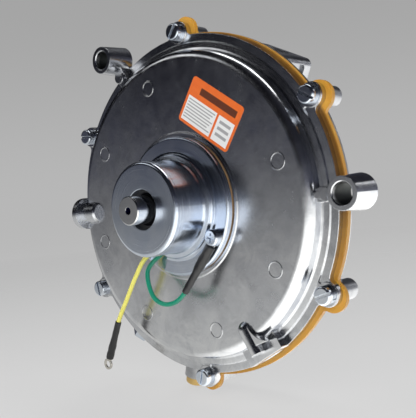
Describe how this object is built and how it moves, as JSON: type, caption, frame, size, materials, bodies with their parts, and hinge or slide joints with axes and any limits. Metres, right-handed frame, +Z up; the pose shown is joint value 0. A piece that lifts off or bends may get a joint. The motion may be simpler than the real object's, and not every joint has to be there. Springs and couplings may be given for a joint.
{
  "type": "gas demand regulator",
  "caption": "Round two-part gas demand regulator with a clamped rubber diaphragm and an electric primer on its front cover",
  "frame": {"origin": "centre of the outlet port's mouth, on the main axis at the back of the body", "axes": "+Y along the main axis from the primer at the front to the outlet port at the back, +Z up, +X to the right seen from the front"},
  "size_m": [0.1901, 0.0908, 0.1969],
  "materials": {
    "die_cast": "bright vibratory-polished die casting",
    "amber_rubber": "translucent amber nitrile on fabric",
    "plate_zinc": "zinc-plated pressed steel",
    "stud_alu": "turned aluminium",
    "zinc_plate": "bright bluish zinc plate",
    "spring_steel": "bare spring steel",
    "brass": "turned brass",
    "black_rubber": "moulded nitrile",
    "fibre": "brown vulcanised fibre",
    "primer_zinc": "bluish zinc plate with turning marks",
    "bobbin_plastic": "moulded nylon",
    "copper_wire": "enamelled copper wire",
    "plunger_steel": "nickel-plated soft iron",
    "yellow_jacket": "extruded PVC",
    "green_jacket": "extruded PVC",
    "black_sleeve": "shrunk polyolefin",
    "tinned": "tin-plated copper",
    "sticker": "printed film"
  },
  "bodies": {
    "housing": {"front_cover": "die_cast", "rear_body": "die_cast", "diaphragm": "amber_rubber", "inlet_seat": "brass", "lever_pivot_pin": "spring_steel", "lever_bracket": "plate_zinc", "bracket_screws": "zinc_plate", "lever_spring": "spring_steel", "spring_seat": "brass", "adjuster_cap_washer": "fibre", "adjuster_cap": "brass", "cover_screws": "zinc_plate", "lock_washers": "zinc_plate", "primer_gasket": "fibre", "primer_base": "primer_zinc", "primer_can": "primer_zinc", "primer_front_plate": "primer_zinc", "coil_bobbin": "bobbin_plastic", "coil_winding": "copper_wire", "guide_tube": "brass", "primer_stem_nut": "zinc_plate", "plunger_return_spring": "spring_steel", "yellow_lead": "yellow_jacket", "yellow_lead_sleeve": "black_sleeve", "yellow_ring_terminal": "tinned", "green_lead": "green_jacket", "green_lead_sleeve": "black_sleeve", "green_ring_terminal": "tinned", "ground_washer": "zinc_plate", "ground_screw": "zinc_plate", "label_sticker": "sticker", "drain_plug": "brass", "test_plug": "zinc_plate", "vent_screen": "spring_steel"},
    "diaphragm_centre": {"diaphragm_plate_front": "plate_zinc", "diaphragm_plate_rear": "plate_zinc", "diaphragm_stud": "stud_alu", "diaphragm_stud_nut": "zinc_plate"},
    "lever": {"valve_lever": "plate_zinc", "valve_pad_holder": "stud_alu", "valve_pad": "black_rubber"},
    "plunger": {"primer_plunger": "plunger_steel", "push_pin": "plunger_steel", "push_pin_clip": "spring_steel"},
    "adjuster": {"adjusting_screw": "brass"}
  },
  "joints": [
    {"name": "diaphragm_travel", "type": "slide", "parent": "housing", "child": "diaphragm_centre", "axis": [0, 1, 0], "range_m": [0, 0.0035], "deforming": ["diaphragm"]},
    {"name": "lever_pivot", "type": "hinge", "parent": "housing", "child": "lever", "pos_m": [0.01725, -0.0277, 0.03386], "axis": [0.891, 0, -0.454], "range_deg": [0, 5.5], "deforming": ["lever_spring"]},
    {"name": "primer_travel", "type": "slide", "parent": "housing", "child": "plunger", "axis": [0, 1, 0], "range_m": [0, 0.0035], "deforming": ["plunger_return_spring"]},
    {"name": "adjuster_turn", "type": "hinge", "parent": "housing", "child": "adjuster", "pos_m": [0.01158, -0.015, 0.02272], "axis": [0, 1, 0], "range_deg": [-180, 180]}
  ],
  "couplings": [
    {"joint": "lever_pivot", "follows": "diaphragm_travel", "rad_per_m": 26.316},
    {"joint": "primer_travel", "follows": "diaphragm_travel", "ratio": 1}
  ]
}
